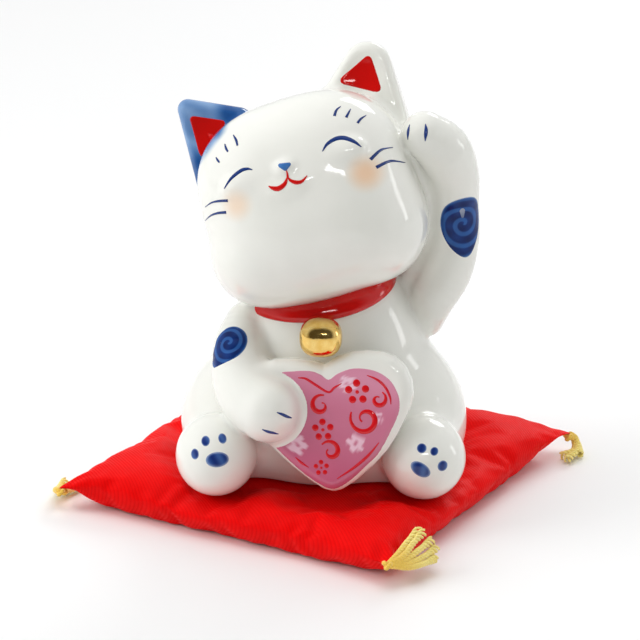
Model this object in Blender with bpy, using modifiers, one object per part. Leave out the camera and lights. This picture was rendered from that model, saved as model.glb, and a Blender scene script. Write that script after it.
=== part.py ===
"""Ceramic cat figurine: a seated beckoning cat on a small square cushion.

Blender 4.5, +Z up. Dimension tables are in millimetres and are turned into metres where a mesh is made.
The cat faces -Y. The origin is on the floor under the middle of the cushion.
"""
import math

import bmesh
import bpy
from mathutils import Matrix, Vector

MM = 0.001
GAP = 0.3                 # clearance between pieces that touch
WALL = 3.0                # wall of the slip-cast body
BASE_Z = 6.5              # flat underside of the cat, sunk into the cushion

# Colours as linear red, green, blue
PORCELAIN = (0.86, 0.87, 0.86)
PINK = (0.75, 0.27, 0.45)
RED_PAINT = (0.55, 0.010, 0.008)
GOLD = (0.80, 0.52, 0.13)
RED_CLOTH = (0.62, 0.010, 0.006)
COTTON = (0.85, 0.83, 0.78)
YARN = (0.85, 0.68, 0.28)

# Head: a rounded box that looks up, leans to the cat's right and turns a little to that side
HEAD_AT = (-1.0, -3.1, 66.3)
HEAD_RADII = (22.9, 20.5, 22.3)
HEAD_SQUARENESS = 2.7
HEAD_TURN = (("Z", 4.5), ("X", -22.0), ("Y", -17.0), ("Z", -9.5))
EAR_CORNERS = ((20.0, 9.0, 26.4), (20.4, 9.0, 12.0), (9.0, 9.0, 12.0), (10.5, 9.0, 21.0))
EAR_RADII = (2.7, 3.6, 2.7)
DISH_CORNERS = ((20.0, 5.6, 25.4), (13.2, 5.6, 22.2), (19.8, 5.6, 17.0))
DISH_RADII = (0.8, 1.0, 0.8)
MUZZLE = ((0.0, -18.0, 7.0), (6.5, 4.4, 3.6))

# Torso and thighs: centre, radii
TORSO_PARTS = (
    ((1.6, 1.0, 24.0), (22.8, 21.0, 31.0)),
    ((1.4, 3.0, 17.0), (23.5, 23.5, 16.0)),
    ((-17.3, -1.0, 15.0), (12.3, 17.0, 13.5)),
    ((19.8, -1.0, 15.5), (12.3, 17.0, 15.0)),
)
DRAIN_HOLE_RADIUS = 4.5
NECK_HOLE_RADIUS = 6.0

# Limbs: points on the centre line with the radius there
RAISED_FORELEG = (
    (22.9, 1.8, 38.1, 4.0), (24.2, 0.9, 42.7, 4.8), (26.9, 3.1, 48.5, 5.7), (28.8, 4.3, 55.6, 5.3),
    (29.0, 3.8, 63.5, 5.3), (28.4, 1.2, 72.0, 5.6), (26.2, -1.9, 78.4, 5.7), (22.5, -4.2, 82.2, 4.8),
)
LOWERED_FORELEG = (
    (-17.9, -9.4, 39.7, 4.6), (-16.1, -13.3, 35.5, 6.2), (-14.2, -18.2, 30.4, 7.0),
    (-11.9, -22.0, 28.3, 7.2), (-8.3, -25.7, 27.3, 7.2),
)
LEFT_FOOT = ((-20.0, -22.4, 15.2), (8.6, 9.0, 8.7))
RIGHT_FOOT = ((24.0, -20.4, 15.2), (8.9, 9.0, 8.9))
LEFT_ANKLE = (-18.0, -12.0, 14.2, 8.0)
RIGHT_ANKLE = (22.0, -10.0, 14.2, 8.0)
TAIL = (
    (2.0, 20.0, 15.0, 4.4), (4.0, 26.0, 15.5, 4.4), (9.0, 28.0, 17.0, 4.2), (13.0, 26.5, 21.0, 3.9),
    (13.0, 23.0, 25.0, 3.5),
)

# Heart-shaped tablet held by the lowered paw
HEART_AT = (4.9, -24.5, 24.8)
HEART_TURN = (("Z", -5.5), ("X", -15.0), ("Y", -3.0))
HEART_SIZE = (30.0, 25.5)
HEART_EDGE = 2.6

# Collar and bell
COLLAR_AT = (1.0, -1.6, 46.7)
COLLAR_TURN = (("Y", -8.0), ("X", 6.0))
COLLAR_RADII = (15.6, 2.4)
BELL_AT = (2.2, -21.4, 41.9)
BELL_RADII = (4.7, 4.3, 4.1)

# Cushion
CUSHION_SIDE = 79.0
CUSHION_TURN = -25.5      # degrees about Z from the cat's own front
PULL_IN = 0.03            # how much each side bows inward between its corners
SEAM_Z = 4.5
PUFF = 4.4                # rise of the free top above its edge
CLOTH = 0.7               # thickness of a panel
DENT_Z = 6.2              # top panel where the cat presses it down
DENT_FADE = 9.0
PANEL_CELLS = 16          # grid cells along one side of a cushion layer
COTTON_TRIM = 1           # outer rings of cells that the filling leaves free
FOOTPRINTS = (
    ((1.3, 2.0), (23.5, 22.5)),
    ((-17.3, -1.0), (11.0, 15.5)),
    ((19.8, -1.0), (11.0, 15.5)),
    ((-19.5, -18.5), (5.5, 9.5)),
    ((23.4, -17.0), (5.5, 9.0)),
    ((5.2, -25.5), (5.0, 5.0)),
)

# Tassels lie beside one edge of the cushion. Corner signs, edge direction, then each yarn's path from
# the knot as (along the edge, away from the edge, height)
KNOT_RADIUS = 1.25
KNOT_Z = 4.0
KNOT_OUT = 1.6            # knot centre beyond the corner, along each side
YARN_RADIUS = 0.8
LYING = (
    ((0.0, 0.0, 4.0), (3.0, 1.8, 2.6), (7.0, 2.0, 1.2), (11.5, 1.5, 1.0)),
    ((0.0, 0.0, 4.0), (3.0, 2.4, 2.6), (7.0, 3.4, 1.2), (12.0, 3.6, 1.0)),
    ((0.0, 0.0, 4.0), (2.6, 3.0, 2.6), (6.0, 4.8, 1.2), (10.5, 5.8, 1.0)),
)
FANNED = (
    ((0.0, 0.0, 4.0), (4.0, 0.9, 4.5), (8.0, 0.9, 5.1), (13.0, 0.6, 5.7)),
    ((0.0, 0.0, 4.0), (4.0, 1.2, 3.6), (8.0, 2.0, 3.3), (12.6, 2.6, 3.1)),
    ((0.0, 0.0, 4.0), (3.6, 1.5, 3.0), (7.4, 3.2, 2.0), (11.4, 4.9, 1.1)),
)
CURLED = (
    ((0.0, 0.0, 4.0), (-1.0, 0.7, 3.2), (0.6, 1.6, 1.4), (4.2, 0.5, 1.0)),
    ((0.0, 0.0, 4.0), (-1.3, 0.9, 3.4), (0.8, 2.5, 1.6), (5.4, 2.3, 1.0)),
    ((0.0, 0.0, 4.0), (-1.6, 0.4, 3.2), (-1.4, 1.9, 1.4), (1.4, 3.4, 1.0)),
)
TASSELS = {
    "tassel_front": ((1, -1), 1, FANNED),
    "tassel_right": ((1, 1), -1, CURLED),
    "tassel_left": ((-1, -1), 1, LYING),
    "tassel_back": ((-1, 1), -1, LYING),
}


def clear_scene():
    for thing in list(bpy.data.objects):
        bpy.data.objects.remove(thing, do_unlink=True)


def new_collection(name, hidden=False):
    group = bpy.data.collections.new(name)
    group.hide_render = hidden
    bpy.context.scene.collection.children.link(group)
    return group


def paint(name, colour, roughness, metallic=0.0):
    material = bpy.data.materials.new(name)
    material.use_nodes = True
    shader = material.node_tree.nodes["Principled BSDF"]
    shader.inputs["Base Color"].default_value = (*colour, 1.0)
    shader.inputs["Roughness"].default_value = roughness
    shader.inputs["Metallic"].default_value = metallic
    return material


def rotation(steps):
    turn = Matrix.Identity(3)
    for axis, degrees in steps:
        turn = turn @ Matrix.Rotation(math.radians(degrees), 3, axis)
    return turn


def placed(centre, turn=()):
    return Matrix.Translation(Vector(centre) * MM) @ rotation(turn).to_4x4()


def add_ball(bm, centre, radii, detail=20):
    shape = Matrix.LocRotScale(Vector(centre) * MM, None, Vector(radii) * MM)
    return bmesh.ops.create_uvsphere(bm, u_segments=detail, v_segments=detail // 2, radius=1.0, matrix=shape)["verts"]


def add_hull(bm, corners, radii, mirror=1):
    """Rounded slab: the convex hull of one small ball at each corner."""
    balls = bmesh.new()
    for x, y, z in corners:
        add_ball(balls, (x * mirror, y, z), radii, 12)
    points = [bm.verts.new(vert.co) for vert in balls.verts]
    balls.free()
    result = bmesh.ops.convex_hull(bm, input=points)
    inside = {item for item in result["geom_interior"] if isinstance(item, bmesh.types.BMVert)}
    bmesh.ops.delete(bm, geom=list(inside), context="VERTS")


def add_limb(bm, stations, steps=4, detail=16):
    """Balls along a smooth curve through the stations."""
    points = [Vector(station) for station in stations]
    points = [points[0] * 2 - points[1]] + points + [points[-1] * 2 - points[-2]]
    for first, start, end, last in zip(points, points[1:], points[2:], points[3:]):
        for step in range(steps + 1):
            t = step / steps
            here = 0.5 * (
                2 * start + (end - first) * t + (2 * first - 5 * start + 4 * end - last) * t * t
                + (3 * start - first - 3 * end + last) * t ** 3
            )
            add_ball(bm, here[:3], (here[3],) * 3, detail)


def finish_mesh(name, bm, group, matrix=None):
    if matrix is not None:
        bmesh.ops.transform(bm, matrix=matrix, verts=bm.verts)
    bmesh.ops.recalc_face_normals(bm, faces=bm.faces)
    mesh = bpy.data.meshes.new(name)
    bm.to_mesh(mesh)
    bm.free()
    body = bpy.data.objects.new(name, mesh)
    group.objects.link(body)
    if group.hide_render:
        body.hide_render = True
        body.display_type = "WIRE"
    return body


def settle(body):
    """Turn the modifier stack into plain mesh."""
    graph = bpy.context.evaluated_depsgraph_get()
    mesh = bpy.data.meshes.new_from_object(body.evaluated_get(graph))
    body.modifiers.clear()
    body.data = mesh


def fuse(body, voxel, keep, smooth=5):
    """Melt overlapping balls into one smooth closed skin and thin its triangles to the kept share."""
    melt = body.modifiers.new("melt", "REMESH")
    melt.mode = "VOXEL"
    melt.voxel_size = voxel * MM
    soften = body.modifiers.new("soften", "SMOOTH")
    soften.factor = 0.5
    soften.iterations = smooth
    thin = body.modifiers.new("thin", "DECIMATE")
    thin.ratio = keep
    settle(body)


def grown(body, amount, tools):
    """Copy of a piece moved out along its normals, used as a cutter."""
    cutter = bpy.data.objects.new(body.name + "_cutter", body.data.copy())
    tools.objects.link(cutter)
    cutter.hide_render = True
    cutter.display_type = "WIRE"
    swell = cutter.modifiers.new("swell", "DISPLACE")
    swell.strength = amount * MM
    swell.mid_level = 0.0
    settle(cutter)
    return cutter


def cut(body, *cutters):
    for cutter in cutters:
        step = body.modifiers.new("cut", "BOOLEAN")
        step.operation = "DIFFERENCE"
        step.solver = "EXACT"
        step.object = cutter
    settle(body)


def join(body, *others):
    for other in others:
        step = body.modifiers.new("join", "BOOLEAN")
        step.operation = "UNION"
        step.solver = "EXACT"
        step.object = other
    settle(body)


def cylinder(name, group, start, end, radius, sides=24):
    """Solid rod between two points."""
    low, high = Vector(start) * MM, Vector(end) * MM
    along = high - low
    place = Matrix.Translation((low + high) / 2) @ along.to_track_quat("Z", "Y").to_matrix().to_4x4()
    bm = bmesh.new()
    bmesh.ops.create_cone(
        bm, cap_ends=True, segments=sides, radius1=radius * MM, radius2=radius * MM, depth=along.length, matrix=place
    )
    return finish_mesh(name, bm, group)


def box(name, group, low, high):
    bm = bmesh.new()
    centre = (Vector(low) + Vector(high)) / 2
    size = Vector(high) - Vector(low)
    bmesh.ops.create_cube(bm, size=1.0, matrix=Matrix.LocRotScale(centre * MM, None, size * MM))
    return finish_mesh(name, bm, group)


def rounded_box(bm, radii, detail=32):
    """Superellipsoid centred on the origin."""
    for vert in add_ball(bm, (0.0, 0.0, 0.0), (1000.0,) * 3, detail):
        total = sum(abs(value) ** HEAD_SQUARENESS for value in vert.co)
        scale = total ** (-1.0 / HEAD_SQUARENESS)
        vert.co = Vector([value * scale * radius * MM for value, radius in zip(vert.co, radii)])


def head_skin(name, group, shrink=0.0):
    bm = bmesh.new()
    rounded_box(bm, [radius - shrink for radius in HEAD_RADII])
    if not shrink:
        add_ball(bm, *MUZZLE)
        for side in (-1, 1):
            add_hull(bm, EAR_CORNERS, EAR_RADII, side)
    skin = finish_mesh(name, bm, group, placed(HEAD_AT, HEAD_TURN))
    fuse(skin, 1.0, 0.04 if shrink else 0.075, 4)
    return skin


def ear_dish(group, side):
    bm = bmesh.new()
    add_hull(bm, DISH_CORNERS, DISH_RADII, side)
    return finish_mesh("ear_dish_cutter", bm, group, placed(HEAD_AT, HEAD_TURN))


def make_head(parts, tools):
    head = head_skin("head_casting", parts)
    solid = grown(head, GAP, tools)
    cavity = head_skin("head_cavity", tools, WALL)
    down = Vector(HEAD_AT) - Vector((0.0, 0.0, 40.0))
    neck = cylinder("head_neck_hole", tools, HEAD_AT, down, NECK_HOLE_RADIUS)
    join(cavity, neck)
    cut(head, cavity, ear_dish(tools, -1), ear_dish(tools, 1))
    return head, solid


def make_collar(parts, tools, head_cutter):
    bm = bmesh.new()
    major, minor = COLLAR_RADII
    rings, sides = 36, 10
    verts = []
    for ring in range(rings):
        angle = 2 * math.pi * ring / rings
        for side in range(sides):
            tilt = 2 * math.pi * side / sides
            reach = (major + minor * math.cos(tilt)) * MM
            verts.append(bm.verts.new((reach * math.cos(angle), reach * math.sin(angle), minor * MM * math.sin(tilt))))
    for ring in range(rings):
        for side in range(sides):
            here, ahead = ring * sides, (ring + 1) % rings * sides
            up = (side + 1) % sides
            bm.faces.new((verts[here + side], verts[ahead + side], verts[ahead + up], verts[here + up]))
    collar = finish_mesh("collar_band", bm, parts, placed(COLLAR_AT, COLLAR_TURN))
    cutter = grown(collar, GAP, tools)
    cut(collar, head_cutter)
    return collar, cutter


def torso_skin(name, group, shrink=0.0):
    bm = bmesh.new()
    for centre, radii in TORSO_PARTS:
        add_ball(bm, centre, [radius - shrink for radius in radii], 28)
    skin = finish_mesh(name, bm, group)
    fuse(skin, 1.1, 0.04 if shrink else 0.075)
    floor = BASE_Z + shrink
    cut(skin, box(name + "_floor", bpy.data.collections["cutters"], (-60, -60, -40), (60, 60, floor)))
    return skin


def make_torso(parts, tools, head_cutter, collar_cutter):
    torso = torso_skin("torso_casting", parts)
    solid = grown(torso, GAP, tools)
    cavity = torso_skin("torso_cavity", tools, WALL)
    cut(cavity, grown(head_cutter, WALL, tools), grown(collar_cutter, WALL - 1.0, tools))
    drain = cylinder("drain_hole", tools, (1.3, 2.0, 0.0), (1.3, 2.0, 20.0), DRAIN_HOLE_RADIUS)
    neck = cylinder("torso_neck_hole", tools, (-1.0, -3.1, 34.0), (-1.0, -3.1, 70.0), NECK_HOLE_RADIUS)
    join(cavity, drain, neck)
    cut(torso, head_cutter, collar_cutter, cavity)
    return torso, solid


def make_limb(name, parts, stations, voxel=0.9, keep=0.14):
    bm = bmesh.new()
    add_limb(bm, stations)
    limb = finish_mesh(name, bm, parts)
    fuse(limb, voxel, keep)
    return limb


def make_foot(name, parts, foot, ankle, tools):
    bm = bmesh.new()
    centre, radii = foot
    add_ball(bm, centre, radii, 24)
    add_limb(bm, ((*centre, 7.6), ankle))
    body = finish_mesh(name, bm, parts)
    fuse(body, 0.9, 0.13)
    cut(body, box(name + "_floor", tools, (-60, -60, -40), (60, 60, BASE_Z)))
    return body


def heart_outline(count):
    width, height = HEART_SIZE
    points = []
    for step in range(count):
        t = 2 * math.pi * step / count
        x = math.sin(t) ** 3
        z = (13 * math.cos(t) - 5 * math.cos(2 * t) - 2 * math.cos(3 * t) - math.cos(4 * t) + 2.5) / 14.5
        points.append((x * width / 2, z * height / 2))
    return points


def make_heart(parts):
    """Flat heart outline thickened and given a round edge by small balls set along it."""
    bm = bmesh.new()
    outline = heart_outline(40)
    front = [bm.verts.new((x * MM, -HEART_EDGE * MM, z * MM)) for x, z in outline]
    back = [bm.verts.new((x * MM, HEART_EDGE * MM, z * MM)) for x, z in outline]
    bm.faces.new(front)
    bm.faces.new(reversed(back))
    for index in range(len(outline)):
        after = (index + 1) % len(outline)
        bm.faces.new((front[index], back[index], back[after], front[after]))
    for x, z in outline:
        add_ball(bm, (x, 0.0, z), (HEART_EDGE,) * 3, 12)
    heart = finish_mesh("heart_tablet", bm, parts, placed(HEART_AT, HEART_TURN))
    fuse(heart, 0.7, 0.10, 3)
    return heart


def make_bell(parts, tools):
    bm = bmesh.new()
    add_ball(bm, BELL_AT, BELL_RADII, 20)
    x, y, z = BELL_AT
    across, deep, _ = BELL_RADII
    add_ball(bm, (x, y, z), (across + 0.45, deep + 0.45, 0.8), 20)
    bell = finish_mesh("bell", bm, parts)
    fuse(bell, 0.45, 0.12, 2)
    slot = box("bell_slot", tools, (x - 2.6, y - 5.0, z - 6.0), (x + 2.6, y + 2.0, z - 2.6))
    cut(slot, box("bell_slot_left", tools, (x - 9.0, y - 9.0, z - 9.0), (x - 0.4, y + 9.0, z)))
    cut(slot, box("bell_slot_right", tools, (x + 0.4, y - 9.0, z - 9.0), (x + 9.0, y + 9.0, z)))
    cut(bell, slot)
    return bell


def cushion_point(across, along):
    """Plan position of a point given by its two fractions of the half side."""
    half = CUSHION_SIDE / 2
    x = half * across * (1 - PULL_IN * (1 - along * along))
    y = half * along * (1 - PULL_IN * (1 - across * across))
    turn = math.radians(CUSHION_TURN)
    return x * math.cos(turn) - y * math.sin(turn), x * math.sin(turn) + y * math.cos(turn)


def fullness(across, along, power):
    """1 in the middle of the cushion and 0 along its seam."""
    return (1 - abs(across) ** power) * (1 - abs(along) ** power)


def dent(x, y):
    """0 under the cat, rising to 1 where the cushion stands free."""
    nearest = DENT_FADE
    for (cx, cy), (rx, ry) in FOOTPRINTS:
        reach = math.hypot((x - cx) / rx, (y - cy) / ry)
        nearest = min(nearest, (reach - 1) * min(rx, ry))
    share = max(nearest, 0.0) / DENT_FADE
    return share * share * (3 - 2 * share)


def top_of_cushion(across, along):
    x, y = cushion_point(across, along)
    edge = SEAM_Z + GAP / 2 + CLOTH
    free = edge + PUFF * fullness(across, along, 4) ** 0.6
    return DENT_Z + (free - DENT_Z) * dent(x, y) if free > DENT_Z else free


def bottom_of_cushion(across, along):
    edge = SEAM_Z - GAP / 2 - CLOTH
    share = min(max(1 - fullness(across, along, 6) / 0.5, 0.0), 1.0)
    return edge * share * share


def spread(index, count):
    """Grid fraction from -1 to 1, closer together near the seam."""
    t = 2 * index / count - 1
    return math.sin(t * math.pi / 2) * 0.5 + t * 0.5


def make_layer(name, parts, upper, lower, trim=0):
    """Closed sheet between two height functions over the cushion's square."""
    bm = bmesh.new()
    steps = [spread(index, PANEL_CELLS) for index in range(trim, PANEL_CELLS + 1 - trim)]
    sheets = []
    for height in (lower, upper):
        rows = []
        for along in steps:
            line = []
            for across in steps:
                x, y = cushion_point(across, along)
                line.append(bm.verts.new((x * MM, y * MM, height(across, along) * MM)))
            rows.append(line)
        sheets.append(rows)
    for rows in sheets:
        for near, far in zip(rows, rows[1:]):
            for column in range(len(near) - 1):
                bm.faces.new((near[column], near[column + 1], far[column + 1], far[column]))
    below, above = [border(rows) for rows in sheets]
    for index in range(len(below)):
        after = (index + 1) % len(below)
        bm.faces.new((below[index], below[after], above[after], above[index]))
    bmesh.ops.triangulate(bm, faces=bm.faces, quad_method="FIXED")
    return finish_mesh(name, bm, parts)


def border(rows):
    """Outer loop of a square grid of points, once round."""
    return rows[0][:-1] + [row[-1] for row in rows[:-1]] + rows[-1][:0:-1] + [row[0] for row in rows[:0:-1]]


def under_top(across, along):
    return top_of_cushion(across, along) - CLOTH


def over_bottom(across, along):
    return bottom_of_cushion(across, along) + CLOTH


def cotton_top(across, along):
    return under_top(across, along) - GAP


def cotton_bottom(across, along):
    return over_bottom(across, along) + GAP


def make_cushion(parts):
    top = make_layer("cover_top_panel", parts, top_of_cushion, under_top)
    bottom = make_layer("cover_bottom_panel", parts, over_bottom, bottom_of_cushion)
    cotton = make_layer("cotton_filling", parts, cotton_top, cotton_bottom, COTTON_TRIM)
    return top, bottom, cotton


def beside_edge(corner, direction, path_point):
    """Place a tassel point beside the cushion edge that leaves a corner in the given direction."""
    across_sign, along_sign = corner
    travel, away, height = path_point
    half = CUSHION_SIDE / 2 + KNOT_OUT
    x = across_sign * (half + away)
    y = along_sign * half + direction * travel
    turn = math.radians(CUSHION_TURN)
    return x * math.cos(turn) - y * math.sin(turn), x * math.sin(turn) + y * math.cos(turn), height


def make_tassel(name, parts):
    corner, direction, paths = TASSELS[name]
    bm = bmesh.new()
    add_ball(bm, beside_edge(corner, direction, (0.0, 0.0, KNOT_Z)), (KNOT_RADIUS,) * 3, 14)
    for path in paths:
        stations = [(*beside_edge(corner, direction, point), YARN_RADIUS) for point in path]
        add_limb(bm, stations, 5, 8)
    tassel = finish_mesh(name, bm, parts)
    fuse(tassel, 0.4, 0.12, 2)
    return tassel


def colour(body, material):
    body.data.materials.clear()
    body.data.materials.append(material)


def build():
    clear_scene()
    parts = new_collection("ceramic_cat_figurine")
    tools = new_collection("cutters", hidden=True)
    head, head_cutter = make_head(parts, tools)
    collar, collar_cutter = make_collar(parts, tools, head_cutter)
    torso, torso_cutter = make_torso(parts, tools, head_cutter, collar_cutter)
    raised = make_limb("raised_foreleg", parts, RAISED_FORELEG)
    lowered = make_limb("lowered_foreleg", parts, LOWERED_FORELEG)
    lowered_cutter = grown(lowered, GAP, tools)
    left = make_foot("left_hind_foot", parts, LEFT_FOOT, LEFT_ANKLE, tools)
    right = make_foot("right_hind_foot", parts, RIGHT_FOOT, RIGHT_ANKLE, tools)
    left_cutter, right_cutter = grown(left, GAP, tools), grown(right, GAP, tools)
    tail = make_limb("tail", parts, TAIL)
    heart = make_heart(parts)
    bell = make_bell(parts, tools)
    bell_cutter = grown(bell, GAP, tools)
    cut(raised, head_cutter, torso_cutter, collar_cutter)
    cut(lowered, head_cutter, torso_cutter, collar_cutter, left_cutter)
    cut(left, torso_cutter)
    cut(right, torso_cutter)
    cut(tail, torso_cutter)
    cut(bell, collar_cutter, torso_cutter)
    cut(heart, torso_cutter, lowered_cutter, left_cutter, right_cutter, bell_cutter)
    for body in (head, torso, raised, lowered, left, right, tail):
        colour(body, paint(body.name, PORCELAIN, 0.08))
    colour(heart, paint("heart_tablet", PINK, 0.10))
    colour(collar, paint("collar_band", RED_PAINT, 0.12))
    colour(bell, paint("bell", GOLD, 0.12, 1.0))
    top, bottom, cotton = make_cushion(parts)
    colour(top, paint("cover_top_panel", RED_CLOTH, 0.75))
    colour(bottom, paint("cover_bottom_panel", RED_CLOTH, 0.75))
    colour(cotton, paint("cotton_filling", COTTON, 0.95))
    for name in TASSELS:
        colour(make_tassel(name, parts), paint(name, YARN, 0.85))


build()
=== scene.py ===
"""Looks for the seated porcelain cat on its twill cushion.

Shapes are sculpted in millimetres as distance fields, polygonised, and scaled to metres.
The cat faces -Y, +X is the side of its raised paw, and the floor is at Z 0.
"""
import math

import bmesh
import bpy
import numpy as np
import openvdb
from mathutils import Matrix, Vector


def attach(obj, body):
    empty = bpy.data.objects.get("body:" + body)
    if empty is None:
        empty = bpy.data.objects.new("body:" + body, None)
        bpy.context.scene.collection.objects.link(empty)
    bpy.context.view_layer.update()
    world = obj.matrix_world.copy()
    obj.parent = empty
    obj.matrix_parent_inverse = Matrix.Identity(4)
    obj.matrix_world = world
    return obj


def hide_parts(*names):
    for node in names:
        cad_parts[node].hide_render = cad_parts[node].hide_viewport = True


MM = 0.001
BASE_Z = 6.5
SURFACE_STEP = 0.5        # spacing of the sculpted surface
BLOCK = 6                 # grid cells along one side of a sampling block

# Head
HEAD_AT = (-1.0, -3.1, 66.3)
HEAD_RADII = (22.9, 20.5, 21.7)
CROWN_LIFT = (0.0, 0.0, 0.6)
HEAD_SQUARENESS = 2.7
HEAD_TURN = (("Z", 4.5), ("X", -22.0), ("Y", -17.0), ("Z", -9.5))
JOWLS = (
    ((-13.0, -2.0, -8.6), (10.9, 15.0, 10.4)),
    ((11.0, -2.0, -9.0), (11.4, 15.0, 11.5)),
)
EAR_HALF = 3.6
EAR_EDGE = 2.0
EAR_TAPER = 0.13
EAR_TAPER_FROM = 14.0
EARS = {                  # name: side, depth, outline corners and rounding, red corners and rounding, hollow
    "left_ear": (1, 6.6, ((18.9, 23.9), (18.8, 12.0), (10.3, 12.0), (12.6, 18.6)), 5.1,
                 ((19.6, 24.9), (13.5, 22.3), (19.7, 18.6)), 0.95, (17.4, 2.0, 22.2)),
    "right_ear": (-1, 8.4, ((21.2, 26.6), (21.9, 10.0), (9.0, 12.0), (11.0, 21.6)), 2.2,
                  ((20.4, 24.1), (14.7, 21.4), (20.6, 16.6)), 0.8, (18.6, 3.8, 21.0)),
}
HOLLOW_RADII = (4.8, 1.7, 4.8)
WASH_STOPS = ((11.5, 22.5), (22.5, 13.0))  # where the brush was lifted: across, up

# Torso and thighs: centre, radii
TORSO_PARTS = (
    ((1.6, 1.0, 24.0), (22.8, 21.0, 31.0)),
    ((1.4, 3.0, 17.0), (23.5, 23.5, 16.0)),
    ((-17.3, -1.0, 15.0), (12.3, 17.0, 13.5)),
    ((19.8, -1.0, 15.5), (12.3, 17.0, 15.0)),
)
DRAIN_HOLE_AT = (1.3, 2.0)
DRAIN_HOLE_RADIUS = 4.5
DRAIN_HOLE_TOP = 14.0

# Limbs: points on the centre line with the radius there
RAISED_FORELEG = (
    (22.9, 1.8, 38.1, 4.0), (24.2, 0.9, 42.7, 4.8), (26.9, 3.1, 48.5, 5.7), (28.8, 4.3, 55.6, 5.3),
    (28.8, 3.8, 63.5, 5.2), (28.5, 1.2, 71.5, 5.5), (26.5, -1.9, 77.9, 5.8), (22.7, -4.2, 82.1, 4.9),
)
RAISED_WEB = ((20.0, 5.0, 44.0, 4.0), (22.5, 6.0, 58.0, 4.2), (22.5, 2.5, 72.0, 4.2), (21.0, 0.5, 78.0, 3.6))
LOWERED_FORELEG = (
    (-15.2, -8.0, 40.2, 3.9), (-15.6, -13.2, 35.8, 5.8), (-14.2, -18.2, 30.4, 6.8),
    (-11.9, -22.0, 28.2, 7.0), (-8.6, -25.5, 27.2, 6.9),
)
LEFT_FOOT = ((-20.0, -22.4, 15.2), (8.6, 9.0, 8.7))
RIGHT_FOOT = ((24.0, -20.4, 15.2), (8.9, 9.0, 8.9))
LEFT_ANKLE = ((-20.0, -20.0, 14.8, 7.6), (-18.0, -10.0, 14.2, 8.0))
RIGHT_ANKLE = ((24.0, -18.0, 14.8, 7.6), (22.0, -8.0, 14.2, 8.0))
TAIL = (
    (2.0, 20.0, 15.0, 4.4), (4.0, 26.0, 15.5, 4.4), (9.0, 28.0, 17.0, 4.2), (13.0, 26.5, 21.0, 3.9),
    (13.0, 23.0, 25.0, 3.5),
)

FIGURINE_BOX = ((-36.0, -38.0, 4.5), (40.0, 36.0, 100.0))

# Heart tablet
HEART_AT = (4.1, -24.5, 24.6)
HEART_TURN = (("Z", -8.0), ("X", -15.0), ("Y", -8.0))
HEART_EDGE = 2.6
HEART_RIM = (
    (0.2, 12.3), (2.9, 13.7), (6.2, 14.6), (9.7, 14.7), (13.1, 14.1), (15.6, 12.9), (17.6, 10.6),
    (18.6, 7.8), (18.7, 5.0), (17.9, 2.4), (16.4, -0.4), (14.6, -3.4), (12.2, -6.6), (9.0, -9.7),
    (4.8, -12.9), (1.8, -14.5), (0.0, -14.8), (-2.0, -14.2), (-4.8, -12.2), (-8.0, -9.4), (-11.2, -6.2),
    (-14.7, -2.2), (-16.8, 1.8), (-17.6, 6.0), (-16.6, 10.0), (-14.0, 12.9), (-10.4, 14.0), (-6.4, 13.8),
    (-2.6, 13.2),
)
HEART_FACE = (
    (1.3, 9.2), (3.4, 10.4), (6.9, 11.3), (11.2, 10.6), (14.3, 8.6), (15.9, 5.6), (16.2, 3.0), (15.2, 0.0),
    (11.3, -6.4), (8.2, -9.3), (4.5, -12.3), (1.5, -14.0), (-0.8, -14.1), (-4.4, -11.8), (-7.5, -9.0),
    (-10.4, -5.9), (-13.2, -2.6), (-15.0, 1.2), (-15.6, 4.8), (-14.0, 8.8), (-10.2, 11.2), (-6.3, 11.4),
    (-2.8, 11.3), (-0.4, 10.4),
)

# Relief on the face, in the head's own frame
FACE_MOUNDS = (
    ((12.4, -17.2, 7.2), (4.2, 1.9, 2.4)),
    ((-10.6, -17.5, 6.8), (4.0, 1.9, 2.4)),
    ((-0.4, -19.6, 7.6), (1.7, 1.4, 1.1)),
    ((-0.4, -18.2, 3.6), (4.8, 2.4, 2.4)),
)

# Collar and bell
COLLAR_AT = (1.0, -1.6, 48.4)
COLLAR_TURN = (("Y", -7.0), ("X", 8.0))
COLLAR_HALF_HEIGHT = 3.0
COLLAR_THICKNESS = 1.2
BELL_AT = (2.2, -21.6, 42.5)
BELL_RADII = (4.5, 4.1, 4.0)
BELL_SQUARENESS = 2.5

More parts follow.
